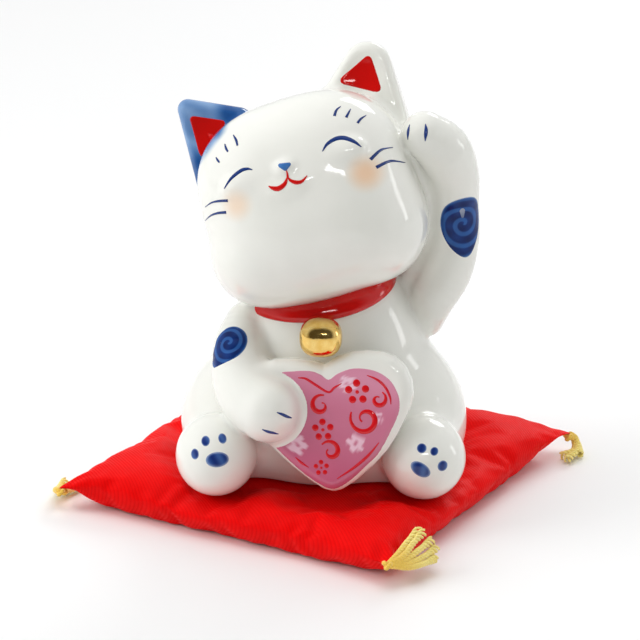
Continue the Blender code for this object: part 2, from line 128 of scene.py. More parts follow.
# Brushwork in the head's own frame: across, up, half width
BLUE_FACE_STROKES = (
    ((8.1, 8.5, 0.12), (9.5, 9.7, 0.38), (11.5, 10.2, 0.5), (13.2, 9.8, 0.5), (14.9, 8.5, 0.38),
     (16.0, 7.0, 0.1)),
    ((-14.1, 7.2, 0.1), (-12.0, 8.8, 0.36), (-9.7, 9.7, 0.44), (-8.2, 9.7, 0.34), (-7.1, 9.2, 0.1)),
    ((13.6, 16.5, 0.1), (12.7, 16.0, 0.28), (12.1, 14.9, 0.34)),
    ((15.4, 15.4, 0.1), (14.9, 14.7, 0.26), (14.3, 13.9, 0.32)),
    ((18.0, 13.2, 0.1), (17.0, 12.8, 0.26), (16.2, 12.1, 0.32)),
    ((-9.7, 17.5, 0.12), (-9.2, 16.2, 0.32), (-9.1, 15.0, 0.24)),
    ((-11.9, 16.2, 0.14), (-11.8, 15.3, 0.3), (-11.5, 14.4, 0.22)),
    ((-14.5, 14.1, 0.12), (-14.25, 13.4, 0.28), (-13.9, 12.8, 0.2)),
    ((16.8, 4.0, 0.4), (18.8, 5.2, 0.32), (20.0, 5.4, 0.2), (21.2, 5.2, 0.08)),
    ((17.4, 2.1, 0.4), (19.9, 2.6, 0.32), (21.2, 2.2, 0.2), (22.3, 1.5, 0.08)),
    ((-14.2, 4.6, 0.34), (-16.2, 5.1, 0.3), (-18.2, 5.3, 0.2), (-20.2, 4.9, 0.07)),
    ((-15.4, 2.4, 0.34), (-17.4, 2.8, 0.3), (-19.4, 2.8, 0.2), (-21.5, 2.2, 0.07)),
)
CHEEKS = (((15.2, 1.6), 4.9, 0.62), ((-12.6, 3.2), 4.4, 0.38))  # centre, radius, strength
NOSE_CORNERS = ((-1.15, 8.35), (0.85, 7.95), (-0.2, 7.2))
MOUTH_STROKES = (
    ((-0.1, 6.9, 0.1), (-0.1, 6.3, 0.22), (-0.3, 5.3, 0.3)),
    ((-4.7, 4.9, 0.12), (-3.9, 4.2, 0.46), (-2.8, 3.8, 0.6), (-1.3, 4.3, 0.5), (-0.3, 5.5, 0.18)),
    ((-0.3, 5.5, 0.18), (0.2, 4.6, 0.36), (1.2, 3.9, 0.48), (2.4, 3.8, 0.36), (3.7, 4.6, 0.1)),
)

# Toe lines and foot pads, laid out on the surface around a centre: across, up
TOE_LINES = (
    ((19.5, -7.3, 83.6), ((-0.3, 1.6, 0.1), (-0.1, 0.5, 0.42), (0.1, -0.5, 0.42), (0.3, -1.6, 0.1))),
    ((23.1, -8.3, 84.0), ((0.0, 1.8, 0.1), (0.1, 0.5, 0.44), (0.0, -0.6, 0.42), (-0.1, -1.9, 0.1))),
    ((-4.4, -31.3, 28.3), ((-1.7, 1.2, 0.12), (-0.5, 0.5, 0.36), (0.6, -0.2, 0.36), (1.8, -0.8, 0.12))),
    ((-7.6, -32.1, 24.6), ((-1.7, 0.9, 0.14), (-0.5, 0.4, 0.42), (0.6, 0.0, 0.4), (1.8, -0.6, 0.12))),
)
FOOT_PADS = (
    (LEFT_FOOT, (-18.9, -30.9, 17.8), 4.0,
     ((0.0, 0.0, 2.65, 1.75), (-4.9, 1.6, 1.05, 1.3), (-2.2, 4.3, 1.05, 1.3), (1.6, 4.5, 1.0, 1.3))),
    (RIGHT_FOOT, (23.8, -29.3, 16.3), -33.0,
     ((0.0, 0.0, 2.5, 1.55), (-2.4, 3.9, 1.15, 1.15), (0.3, 4.9, 0.95, 1.05), (3.7, 3.2, 1.25, 1.3))),
)

# Cobalt teardrops: centre, turn of the drop, half width, reach up, reach down, lean of the tip
TEARDROPS = (
    ((30.9, -0.7, 60.6), 4.0, 5.2, 7.2, 7.6, 0.4),
    ((-17.9, -17.9, 38.9), -18.0, 4.1, 4.7, 6.3, -0.6),
)

# Heart face, in the heart's own frame
HEART_RED_STROKES = (
    ((-5.2, 9.9, 0.12), (-3.6, 9.6, 0.3), (-1.6, 8.2, 0.36), (1.0, 6.5, 0.3), (2.4, 7.4, 0.3),
     (4.0, 8.2, 0.1)),
    ((9.6, 9.6, 0.1), (11.6, 8.6, 0.32), (13.2, 7.0, 0.36), (14.1, 4.8, 0.3), (14.2, 3.2, 0.1)),
    ((11.0, -4.7, 0.1), (8.6, -7.2, 0.34), (5.4, -9.6, 0.34), (1.4, -11.9, 0.1)),
    ((-7.2, -6.9, 0.1), (-6.0, -8.1, 0.34), (-4.5, -9.2, 0.1)),
)

# Red curls and blossoms on the heart: centre, size, turns, start angle, half width
CURLS = (
    ((8.4, 0.4), 3.3, 1.2, 2.6, 0.74), ((11.6, 4.4), 1.8, -1.0, 1.0, 0.6),
    ((-0.8, 3.8), 2.3, 1.0, 1.2, 0.66), ((0.4, -6.0), 2.3, -1.0, 2.4, 0.66),
)
PALE_BLOSSOMS = (         # centre, size, turn
    ((-6.6, -4.2), 2.4, 0.2), ((6.0, -4.6), 2.3, 0.9), ((5.2, 8.0), 2.1, 0.5), ((-8.6, 3.2), 1.5, 0.0),
    ((11.4, 0.6), 1.3, 0.4),
)
MOTIF_BLOSSOMS = (((7.2, 6.2), 1.9), ((-0.8, -1.4), 1.7), ((-1.8, -9.4), 1.2))

# Cushion
CUSHION_SIDE = 79.0
CUSHION_TURN = -25.5
PULL_IN = 0.03
CORNER_REACH = 1.6        # pull of the knot on a corner
SEAM_Z = 4.5
PUFF = 4.4
DENT_Z = 6.2
DENT_FADE = 9.0
CUSHION_CELLS = 72
CUSHION_REACH = 1.9       # most that the simulated cloth may move
CUSHION_CLEARANCE = 0.25
SIMULATION_STEPS = 20
SIMULATION_SCALE = 8.0    # the pad is simulated at the size of a seat pad
FOOTPRINTS = (
    ((1.3, 2.0), (23.5, 22.5)), ((-17.3, -1.0), (11.0, 15.5)), ((19.8, -1.0), (11.0, 15.5)),
    ((-19.5, -18.5), (5.5, 9.5)), ((23.4, -17.0), (5.5, 9.0)), ((5.2, -25.5), (5.0, 5.0)),
)
TWILL_PITCH = 0.6
YARN_PITCH = 0.42
WAVE_SCALE = math.pi / 10  # wave texture scale that gives bands one unit apart
TWILL_SLANT = -28.0

# Tassels: distance along the edge from the corner, distance away from the edge, height
KNOT_OUT = 0.9
LYING = (
    ((0.0, 0.0, 4.0), (3.0, 1.8, 2.6), (7.0, 2.0, 1.2), (11.5, 1.5, 1.0)),
    ((0.0, 0.0, 4.0), (3.0, 2.4, 2.6), (7.0, 3.4, 1.2), (12.0, 3.6, 1.0)),
    ((0.0, 0.0, 4.0), (2.6, 3.0, 2.6), (6.0, 4.8, 1.2), (10.5, 5.8, 1.0)),
)
FANNED = (
    ((0.0, -0.4, 5.4), (4.2, -0.3, 6.3), (8.6, -0.6, 7.2), (13.4, -0.6, 8.1)),
    ((0.0, -0.4, 5.4), (4.2, 0.8, 6.0), (8.6, 0.6, 7.0), (13.2, 0.5, 7.8)),
    ((0.0, -0.4, 5.4), (4.2, 1.2, 5.2), (8.8, 2.0, 5.8), (13.8, 2.2, 6.1)),
    ((0.0, -0.4, 5.4), (4.2, 1.7, 4.5), (8.8, 3.0, 4.5), (13.6, 3.4, 4.7)),
    ((0.0, -0.4, 5.4), (3.8, 2.0, 3.9), (7.6, 3.6, 3.5), (11.6, 4.3, 3.3)),
)
CURLED = (
    ((0.0, 0.0, 4.0), (-1.0, 0.7, 3.2), (0.6, 1.6, 1.4), (4.2, 0.5, 1.0)),
    ((0.0, 0.0, 4.0), (-1.3, 0.9, 3.4), (0.8, 2.5, 1.6), (5.4, 2.3, 1.0)),
    ((0.0, 0.0, 4.0), (-1.6, 0.4, 3.2), (-1.4, 1.9, 1.4), (1.4, 3.4, 1.0)),
)
TASSELS = {
    "front_tassel": ("tassel_front", (1, -1), 1, FANNED),
    "right_tassel": ("tassel_right", (1, 1), -1, CURLED),
    "left_tassel": ("tassel_left", (-1, -1), 1, LYING),
    "back_tassel": ("tassel_back", (-1, 1), -1, LYING),
}

# Colours as red, green, blue from 0 to 255
GLAZE_WHITE = (240, 240, 234)
COBALT_DEEP = (2, 30, 88)
COBALT_MID = (20, 66, 144)
COBALT_LIGHT = (62, 118, 190)
COBALT_HALO = (80, 134, 200)
COBALT_WASH = (128, 162, 206)
COBALT_POOL = (34, 84, 148)
BLUSH = (252, 196, 150)
LINE_BLUE = (22, 52, 118)
NOSE_BLUE = (58, 112, 178)
TOE_BLUE = (36, 60, 128)
PAD_DARK = (22, 46, 116)
PAD_LIGHT = (58, 92, 158)
PAD_EDGE = (176, 190, 214)
PINK = (206, 122, 150)
PETAL = (248, 216, 232)
PINK_DEEP = (200, 98, 132)
PINK_PALE = (238, 176, 202)
ENAMEL_RED = (206, 12, 10)
BORDER_RED = (212, 24, 44)
MOTIF_RED = (214, 18, 30)
YARN_DYED = (246, 206, 84)
YARN_PALE = (254, 238, 146)

# Studio: the unlit side of the room, as a direction from the object
DARK_SIDE = (0.07, -0.9, 0.42)
ROOM_STOPS = ((0.42, (0.95, 0.96, 0.97)), (0.72, (0.12, 0.11, 0.09)))  # lit walls, unlit side
ROOM_STRENGTH = 0.72
LAMPS = (                 # name, place, width, height, power, seen in the glaze
    ("left_window", (-0.62, -0.12, 0.36), 0.5, 0.5, 2.5, False),
    ("top", (0.0, -0.05, 0.7), 0.6, 0.5, 1.7, False),
    ("back_window", (0.2, 0.6, 0.42), 0.28, 0.24, 1.2, True),
    ("front_strip", (0.13, -0.75, 0.51), 0.26, 0.035, 0.5, True),
    ("front_low", (0.22, -0.75, 0.14), 0.5, 0.2, 0.55, False),
    ("right_window", (0.6, 0.1, 0.16), 0.09, 0.22, 0.22, True),
)

# View
VIEW_AZIMUTH = 4.5
VIEW_ELEVATION = 22.0
VIEW_DISTANCE = 1.0
VIEW_WIDTH = 0.13914      # width of the picture at the cushion
VIEW_CENTRE = (0.33, 31.2)  # of the picture, from the cushion's middle, across and up, in millimetres


def rotation(steps):
    turn = Matrix.Identity(3)
    for axis, degrees in steps:
        turn = turn @ Matrix.Rotation(math.radians(degrees), 3, axis)
    return np.array(turn)


HEAD_AXES = rotation(HEAD_TURN)
HEART_AXES = rotation(HEART_TURN)
COLLAR_AXES = rotation(COLLAR_TURN)


def into(points, origin, axes):
    """World points in a local frame."""
    return (points - np.array(origin)) @ axes


def unit(vectors):
    return vectors / np.maximum(np.linalg.norm(vectors, axis=-1, keepdims=True), 1e-9)


def circle(count):
    """Angles once round a circle."""
    return np.linspace(0, 2 * math.pi, count, endpoint=False)


def ellipsoid(points, centre, radii):
    radii = np.array(radii)
    offset = points - np.array(centre)
    reach = np.sqrt(((offset / radii) ** 2).sum(-1))
    slope = np.sqrt(((offset / radii ** 2) ** 2).sum(-1))
    return reach * (reach - 1) / np.maximum(slope, 1e-6)


def rounded_box(points, radii, squareness):
    radii = np.array(radii)
    share = np.abs(points) / radii + 1e-9
    total = (share ** squareness).sum(-1)
    slope = np.sqrt(((share ** (squareness - 1) / radii) ** 2).sum(-1)) * total ** (1 / squareness - 1)
    return (total ** (1 / squareness) - 1) / np.maximum(slope, 1e-6)


def join(first, second, blend):
    """Union of two fields with a fillet."""
    share = np.clip(0.5 + 0.5 * (second - first) / blend, 0, 1)
    return second * (1 - share) + first * share - blend * share * (1 - share)


def carve(body, tool, blend):
    """Body less tool with a rounded edge."""
    return -join(-body, tool, blend)


def smooth_path(stations, steps):
    """Catmull-Rom curve through the stations."""
    points = np.array(stations, float)
    points = np.vstack([2 * points[0] - points[1], points, 2 * points[-1] - points[-2]])
    curve = []
    for first, start, end, last in zip(points, points[1:], points[2:], points[3:]):
        for step in range(steps):
            t = step / steps
            curve.append(0.5 * (
                2 * start + (end - first) * t + (2 * first - 5 * start + 4 * end - last) * t * t
                + (3 * start - first - 3 * end + last) * t ** 3
            ))
    curve.append(points[-2])
    return np.array(curve)


def limb(points, stations, steps=4):
    """Chain of round cones along a curve of (x, y, z, radius)."""
    curve = smooth_path(stations, steps)
    nearest = None
    for start, end in zip(curve, curve[1:]):
        along = end[:3] - start[:3]
        share = np.clip(((points - start[:3]) @ along) / (along @ along), 0, 1)
        offset = points - start[:3] - share[..., None] * along
        distance = np.sqrt((offset ** 2).sum(-1)) - (start[3] + (end[3] - start[3]) * share)
        nearest = distance if nearest is None else np.minimum(nearest, distance)
    return nearest


def outline_distance(x, z, corners):
    """Signed distance to a closed outline in a plane."""
    corners = np.array(corners, float)
    nearest = np.full(x.shape, 1e9)
    inside = np.zeros(x.shape, bool)
    for (x0, z0), (x1, z1) in zip(corners, np.roll(corners, -1, axis=0)):
        run, rise = x1 - x0, z1 - z0
        share = np.clip(((x - x0) * run + (z - z0) * rise) / (run * run + rise * rise), 0, 1)
        nearest = np.minimum(nearest, (x - x0 - run * share) ** 2 + (z - z0 - rise * share) ** 2)
        spans = (z0 > z) != (z1 > z)
        safe_rise = rise if abs(rise) > 1e-9 else 1e-9
        inside ^= spans & (x < run * (z - z0) / safe_rise + x0)
    nearest = np.sqrt(nearest)
    return np.where(inside, -nearest, nearest)


def plate(flat, depth, half, edge):
    """Plate of an outline with rounded edges."""
    side = flat + edge
    face = np.abs(depth) - (half - edge)
    outer = np.hypot(np.maximum(side, 0), np.maximum(face, 0))
    return np.minimum(np.maximum(side, face), 0) + outer - edge


def ear(local, side, depth, outline, rounding):
    """Ear that thins from behind towards its tip."""
    flat = outline_distance(local[..., 0] * side, local[..., 2], outline) - rounding
    thinned = np.clip(EAR_TAPER * (local[..., 2] - EAR_TAPER_FROM), 0, EAR_HALF - EAR_EDGE)
    return plate(flat, local[..., 1] - depth + thinned, EAR_HALF - thinned, EAR_EDGE)


def head(points):
    local = into(points, HEAD_AT, HEAD_AXES)
    shape = rounded_box(local - np.array(CROWN_LIFT), HEAD_RADII, HEAD_SQUARENESS)
    for centre, radii in JOWLS:
        shape = join(shape, ellipsoid(local, centre, radii), 3.0)
    for centre, radii in FACE_MOUNDS:
        shape = join(shape, ellipsoid(local, centre, radii), 2.0)
    for side, depth, outline, rounding, _, _, hollow in EARS.values():
        shape = join(shape, ear(local, side, depth, outline, rounding), 2.0)
        shape = carve(shape, ellipsoid(local * (side, 1, 1), hollow, HOLLOW_RADII), 0.8)
    return shape


def torso(points):
    shape = None
    for centre, radii in TORSO_PARTS:
        part = ellipsoid(points, centre, radii)
        shape = part if shape is None else join(shape, part, 6.0)
    return shape


def hind_leg(points, foot, ankle):
    return join(ellipsoid(points, *foot), limb(points, ankle), 2.0)


def heart(points):
    local = into(points, HEART_AT, HEART_AXES)
    flat = outline_distance(local[..., 0], local[..., 2], HEART_RIM)
    return plate(flat, local[..., 1], HEART_EDGE, 2.3)


def bell(points):
    return rounded_box(points - np.array(BELL_AT), BELL_RADII, BELL_SQUARENESS)


def porcelain(points):
    """The whole glazed body."""
    shape = join(torso(points), head(points), 1.0)
    shape = join(shape, hind_leg(points, LEFT_FOOT, LEFT_ANKLE), 3.0)
    shape = join(shape, hind_leg(points, RIGHT_FOOT, RIGHT_ANKLE), 3.0)
    shape = join(shape, heart(points), 1.0)
    arm = join(limb(points, RAISED_FORELEG), limb(points, RAISED_WEB), 1.5)
    shape = join(shape, arm, 1.2)
    shape = join(shape, limb(points, LOWERED_FORELEG), 2.0)
    shape = join(shape, limb(points, TAIL), 2.0)
    shape = carve(shape, points[..., 2] - BASE_Z, 0.8)
    aside = np.hypot(points[..., 0] - DRAIN_HOLE_AT[0], points[..., 1] - DRAIN_HOLE_AT[1])
    drain = np.maximum(aside - DRAIN_HOLE_RADIUS, points[..., 2] - DRAIN_HOLE_TOP)
    return carve(shape, drain, 0.6)


def sample(field, low, high, step):
    """Field values on a grid, worked out in full only in blocks that the surface may cross."""
    blocks = [int(math.ceil((b - a) / step / BLOCK)) for a, b in zip(low, high)]
    size = BLOCK * step
    centres = [a + size * (np.arange(n) + 0.5) - step / 2 for a, n in zip(low, blocks)]
    middles = np.stack(np.meshgrid(*centres, indexing="ij"), axis=-1)
    rough = field(middles.reshape(-1, 3)).reshape(blocks)
    values = np.repeat(np.repeat(np.repeat(rough, BLOCK, 0), BLOCK, 1), BLOCK, 2)
    ticks = np.arange(BLOCK) * step
    cell = np.stack(np.meshgrid(ticks, ticks, ticks, indexing="ij"), axis=-1)
    near = np.argwhere(np.abs(rough) < size * 1.6)
    for start in range(0, len(near), 2000):
        batch = near[start:start + 2000]
        corners = np.array(low) + batch * size
        spots = corners[:, None, None, None, :] + cell
        fine = field(spots.reshape(-1, 3)).reshape(-1, BLOCK, BLOCK, BLOCK)
        for (i, j, k), block in zip(batch * BLOCK, fine):
            values[i:i + BLOCK, j:j + BLOCK, k:k + BLOCK] = block
    return values


def slope(field, points, reach=0.02):
    """Field value and gradient."""
    value = field(points)
    steps = [(field(points + reach * axis) - value) / reach for axis in np.eye(3)]
    return value, np.stack(steps, axis=-1)


def sculpt(name, field, low, high, step=SURFACE_STEP):
    """Closed smooth mesh of a field's zero surface."""
    values = sample(field, low, high, step)
    grid = openvdb.FloatGrid(background=3 * step)
    grid.copyFromArray(np.clip(values, -3 * step, 3 * step).astype(np.float32))
    points, quads = grid.convertToQuads(isovalue=0.0)
    points = points * step + np.array(low)
    value, gradient = slope(field, points)
    points = points - (value / np.maximum((gradient ** 2).sum(-1), 0.3))[:, None] * gradient
    return new_mesh(name, points, quads[:, ::-1])


def new_mesh(name, points, faces):
    mesh = bpy.data.meshes.new(name)
    mesh.from_pydata((np.asarray(points) * MM).tolist(), [], [list(map(int, face)) for face in faces])
    mesh.update()
    mesh.shade_smooth()
    piece = bpy.data.objects.new(name, mesh)
    bpy.context.scene.collection.objects.link(piece)
    return piece


def wrap_faces(rings, around, first=0, closed=False):
    """Quads between successive rings of points."""
    faces = []
    for ring in range(rings if closed else rings - 1):
        low = first + ring * around
        high = first + (ring + 1) % rings * around
        for j in range(around):
            after = (j + 1) % around
            faces.append((low + j, low + after, high + after, high + j))
    return faces


def vertex_points(piece):
    return np.array([vertex.co for vertex in piece.data.vertices]) / MM


def move_points(piece, points):
    piece.data.vertices.foreach_set("co", (points * MM).ravel())


def even_colour(colour, points):
    """The same colour for each point."""
    return np.broadcast_to(np.array(colour, float), (len(points), 3))


def linear(colours):
    """Colours from 0 to 255 as linear light."""
    share = np.asarray(colours, float) / 255
    return np.where(share <= 0.04045, share / 12.92, ((share + 0.055) / 1.055) ** 2.4)


def blend_colours(first, second, share):
    share = np.asarray(share, float)[..., None]
    return np.asarray(first, float) * (1 - share) + np.asarray(second, float) * share


def step_up(value, low, high):
    """0 below low, 1 above high, smooth between."""
    share = np.clip((value - low) / (high - low), 0, 1)
    return share * share * (3 - 2 * share)


def paint_points(piece, colours):
    layer = piece.data.color_attributes.new("paint", "FLOAT_COLOR", "POINT")
    values = np.ones((len(piece.data.vertices), 4), np.float32)
    values[:, :3] = linear(colours)
    layer.data.foreach_set("color", values.ravel())


def settle(field, points, rounds=4):
    """Points pulled onto a field's surface, and the outward normals there."""
    for _ in range(rounds):
        value, gradient = slope(field, points)
        points = points - (value / np.maximum((gradient ** 2).sum(-1), 0.25))[:, None] * gradient
    _, gradient = slope(field, points)
    return points, unit(gradient)


def pressed_on(field, origin, axes, reach, stop=0.0):
    """Lays plan positions (across, up) on a surface by moving them along the local +Y of a frame."""
    forward = axes[:, 1]

    def place(plan):
        plan = np.asarray(plan, float)
        start = np.array(origin) + plan[:, :1] * axes[:, 0] + plan[:, 1:] * axes[:, 2]
        travel = np.full(len(plan), -reach)
        for _ in range(30):
            travel = np.minimum(travel + 0.9 * field(start + travel[:, None] * forward), stop)
        return settle(field, start + travel[:, None] * forward, 2)
    return place


def wrapped_on(field, centre, turn=0.0, strides=10):
    """Lays plan positions (across, up) on a surface by walking out along it from a centre."""
    middle, normal = settle(field, np.array([centre], float))
    side = np.cross(normal[0], (0.0, 0.0, 1.0))
    side = side / -np.linalg.norm(side)
    rise = np.cross(normal[0], side)
    angle = math.radians(turn)
    across = side * math.cos(angle) + rise * math.sin(angle)
    up = rise * math.cos(angle) - side * math.sin(angle)

    def place(plan):
        plan = np.asarray(plan, float)
        heading = plan[:, :1] * across + plan[:, 1:] * up
        length = np.linalg.norm(heading, axis=-1, keepdims=True)
        heading = heading / np.maximum(length, 1e-9)
        points = np.repeat(middle, len(plan), 0)
        for _ in range(strides):
            points, normals = settle(field, points + heading * length / strides, 1)
            heading = heading - (heading * normals).sum(-1, keepdims=True) * normals
            heading = unit(heading)
        return points, normals
    return place


def oval(width, height, count=28, centre=(0.0, 0.0)):
    t = circle(count)
    return np.stack([centre[0] + width * np.cos(t), centre[1] + height * np.sin(t)], axis=1)


class Film:
    """Thin closed layer of enamel that follows the glaze."""

    def __init__(self):
        self.points = []
        self.faces = []
        self.colours = []
        self.count = 0

    def add(self, points, faces, colours):
        self.points.append(points)
        self.faces.extend([tuple(index + self.count for index in face) for face in faces])
        self.colours.append(colours)
        self.count += len(points)

    def stroke(self, place, stations, colour, steps=6, lift=0.05):
        """Brush stroke of (across, up, half width) stations."""
        curve = smooth_path(stations, steps)
        run = np.gradient(curve[:, :2], axis=0)
        side = np.stack([-run[:, 1], run[:, 0]], axis=1)
        side = unit(side)
        ring = (
            (-1.0, -0.06), (-0.75, lift * 0.8), (0.0, lift), (0.75, lift * 0.8), (1.0, -0.06), (0.0, -0.2),
        )
        plan = np.concatenate([curve[:, :2] + side * curve[:, 2:] * share for share, _ in ring])
        points, normals = place(plan)
        heights = np.repeat([height for _, height in ring], len(curve))
        points = points + normals * heights[:, None]
        count, sides = len(curve), len(ring)
        faces = []
        for j in range(sides):
            after = (j + 1) % sides
            for i in range(count - 1):
                faces.append((j * count + i, j * count + i + 1, after * count + i + 1, after * count + i))
        faces.append([j * count for j in range(sides)])
        faces.append([j * count + count - 1 for j in reversed(range(sides))])
        self.add(points, faces, even_colour(colour, points))

    def patch(self, place, outline, colours, rings=16, lift=0.04, middle=(0.0, 0.0)):
        """Filled outline, painted by a function of its plan positions."""
        middle = np.array(middle)
        shares = np.linspace(0, 1, rings + 1)[1:]
        plan = np.concatenate([middle[None]] + [middle + (outline - middle) * share for share in shares])
        points, normals = place(plan)
        heights = np.full(len(plan), lift)
        around = len(outline)
        heights[-around:] = -0.04
        top = points + normals * heights[:, None]
        base = points[-around:] - normals[-around:] * 0.2
        hub = points[:1] - normals[:1] * 0.2
        faces = [(0, 1 + j, 1 + (j + 1) % around) for j in range(around)]
        faces.extend((first, *rest[::-1]) for first, *rest in wrap_faces(rings, around, first=1))
        rim, under = 1 + (rings - 1) * around, len(plan)
        for j in range(around):
            after = (j + 1) % around
            faces.append((rim + j, under + j, under + after, rim + after))
            faces.append((under + around, under + after, under + j))
        painted = colours(plan)
        self.add(np.concatenate([top, base, hub]), faces,
                 np.concatenate([painted, painted[-around:], painted[:1]]))

    def finish(self, name, material):
        piece = new_mesh(name, np.concatenate(self.points), self.faces)
        bm = bmesh.new()
        bm.from_mesh(piece.data)
        bmesh.ops.recalc_face_normals(bm, faces=bm.faces)
        bm.to_mesh(piece.data)
        bm.free()
        paint_points(piece, np.concatenate(self.colours))
        piece.data.materials.append(material)
        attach(piece, "figurine")
        return piece


class Shader:
    """Material of one Principled shader with its node links."""

    def __init__(self, name, roughness, colour=(0.8, 0.8, 0.8), **values):
        self.material = bpy.data.materials.new(name)
        self.material.use_nodes = True
        self.tree = self.material.node_tree
        self.surface = self.tree.nodes["Principled BSDF"]
        self.surface.inputs["Base Color"].default_value = (*colour, 1.0)
        self.surface.inputs["Roughness"].default_value = roughness
        for socket, value in values.items():
            self.surface.inputs[socket.replace("_", " ")].default_value = value
        self.places = self.tree.nodes.new("ShaderNodeTexCoord").outputs["Object"]
        self.relief = None

    def node(self, kind, links=(), **values):
        made = self.tree.nodes.new("ShaderNode" + kind)
        for key, value in values.items():
            if key in made.bl_rna.properties:
                setattr(made, key, value)
            else:
                made.inputs[key.replace("_", " ")].default_value = value
        for socket, source in dict(links).items():
            self.tree.links.new(source, made.inputs[socket])
        return made

    def noise(self, size, detail=3.0):
        """Noise whose features are about the given size in metres."""
        made = self.node("TexNoise", {"Vector": self.places}, Scale=1.0 / size, Detail=detail)
        return made.outputs["Fac"]

    def remap(self, value, low, high, bottom=0.0, top=1.0):
        return self.node("MapRange", {"Value": value}, From_Min=low, From_Max=high, To_Min=bottom,
                         To_Max=top).outputs["Result"]

    def mix(self, share, first, second, blend_type="MIX"):
        made = self.tree.nodes.new("ShaderNodeMix")
        made.data_type = "RGBA"
        made.blend_type = blend_type
        for socket, value in ((made.inputs[0], share), (made.inputs[6], first), (made.inputs[7], second)):
            if isinstance(value, (tuple, float)):
                socket.default_value = (*value, 1.0) if isinstance(value, tuple) else value
            else:
                self.tree.links.new(value, socket)
        return made.outputs[2]

    def colour(self, value):
        self.tree.links.new(value, self.surface.inputs["Base Color"])

    def rough(self, value):
        self.tree.links.new(value, self.surface.inputs["Roughness"])

    def bump(self, height, strength, distance):
        links = {"Height": height}
        if self.relief:
            links["Normal"] = self.relief
        self.relief = self.node("Bump", links, Strength=strength, Distance=distance).outputs["Normal"]
        self.tree.links.new(self.relief, self.surface.inputs["Normal"])


def painted_glaze(name, roughness=0.07, gloss=0.5):
    """Clear gloss glaze over paint, slightly uneven as poured glaze is."""
    shader = Shader(name, roughness, IOR=1.5, Specular_IOR_Level=gloss)
    paint = shader.node("Attribute", attribute_name="paint").outputs["Color"]
    pooling = shader.remap(shader.noise(0.009), 0.3, 0.7)
    tone = shader.mix(pooling, (0.965, 0.972, 0.965), (1.0, 1.0, 1.0))
    shader.colour(shader.mix(1.0, paint, tone, "MULTIPLY"))
    shader.bump(shader.noise(0.011, 1.0), 0.22, 0.0006)
    shader.bump(shader.noise(0.0011, 2.0), 0.05, 0.00005)
    return shader.material


def gold_lustre():
    shader = Shader("gold_lustre", 0.13, Metallic=1.0)
    wear = shader.remap(shader.noise(0.0016, 4.0), 0.35, 0.7)
    shader.colour(shader.mix(wear, (0.83, 0.52, 0.13), (0.93, 0.68, 0.25)))
    shader.rough(shader.remap(wear, 0.0, 1.0, 0.09, 0.2))
    shader.bump(shader.noise(0.0022, 2.0), 0.3, 0.00022)
    return shader.material


def red_twill():
    """Satin-backed twill: slanting ridges with broken yarns and a soft nap, with painted shade darkening the
    grooves between the ridges.
    """
    shader = Shader("red_twill", 0.6, Sheen_Weight=0.05, Sheen_Roughness=0.35, Specular_IOR_Level=0.08)
    shader.surface.inputs["Sheen Tint"].default_value = (1.0, 0.05, 0.03, 1.0)
    slant = (0.0, 0.0, math.radians(TWILL_SLANT))
    turned = shader.node("Mapping", {"Vector": shader.places}, Rotation=slant).outputs["Vector"]
    ridge = shader.node("TexWave", {"Vector": turned}, Scale=WAVE_SCALE / (TWILL_PITCH * MM),
                        Distortion=0.6, Detail=1.0, Detail_Scale=0.4).outputs["Fac"]
    yarn = shader.node("TexWave", {"Vector": turned}, bands_direction="Y",
                       Scale=WAVE_SCALE / (YARN_PITCH * MM), Distortion=1.2, Detail=1.0).outputs["Fac"]
    dye = shader.remap(shader.noise(0.008), 0.3, 0.7)
    tone = shader.mix(dye, (0.78, 0.001, 0.001), (0.9, 0.002, 0.002))
    # Painted shade: the troughs between the twill ridges are coloured up to 16% darker red.
    shader.colour(shader.mix(shader.remap(ridge, 0.0, 0.6, 0.16, 0.0), tone, (0.4, 0.0, 0.001)))
    shader.rough(shader.remap(ridge, 0.0, 1.0, 0.62, 0.42))
    shader.bump(ridge, 0.35, 0.0001)
    shader.bump(yarn, 0.2, 0.00005)
    return shader.material


def spun_yarn():
    """Soft cotton yarn with loose fibres."""
    shader = Shader("spun_yarn", 0.82, Sheen_Weight=0.4, Sheen_Roughness=0.5)
    paint = shader.node("Attribute", attribute_name="paint").outputs["Color"]
    fibres = shader.noise(0.00022, 4.0)
    shader.colour(shader.mix(shader.remap(fibres, 0.35, 0.7), paint, (0.88, 0.83, 0.7), "MULTIPLY"))
    shader.bump(fibres, 0.5, 0.00006)
    return shader.material


def add_camera():
    azimuth, elevation = math.radians(VIEW_AZIMUTH), math.radians(VIEW_ELEVATION)
    back = Vector((math.sin(azimuth) * math.cos(elevation), -math.cos(azimuth) * math.cos(elevation),
                   math.sin(elevation)))
    right = Vector((math.cos(azimuth), math.sin(azimuth), 0.0))
    up = back.cross(right)
    across, above = VIEW_CENTRE
    aim = Vector((0.0, 0.0, 4.0 * MM)) + right * across * MM + up * above * MM
    lens = bpy.data.cameras.new("camera")
    lens.sensor_width = 36.0
    lens.lens = 36.0 * VIEW_DISTANCE / VIEW_WIDTH
    camera = bpy.data.objects.new("camera", lens)
    camera.location = aim + back * VIEW_DISTANCE
    camera.rotation_mode = "QUATERNION"
    camera.rotation_quaternion = (-back).to_track_quat("-Z", "Y")
    bpy.context.scene.collection.objects.link(camera)
    bpy.context.scene.camera = camera


def add_light(name, place, width, height, power, mirrored):
    lamp = bpy.data.lights.new(name, "AREA")
    lamp.shape = "RECTANGLE"
    lamp.size = width
    lamp.size_y = height
    lamp.energy = power
    light = bpy.data.objects.new(name, lamp)
    light.location = place
    light.rotation_mode = "QUATERNION"
    light.rotation_quaternion = (Vector((0.0, 0.0, 0.05)) - Vector(place)).to_track_quat("-Z", "Y")
    light.visible_camera = False
    light.visible_glossy = mirrored
    bpy.context.scene.collection.objects.link(light)


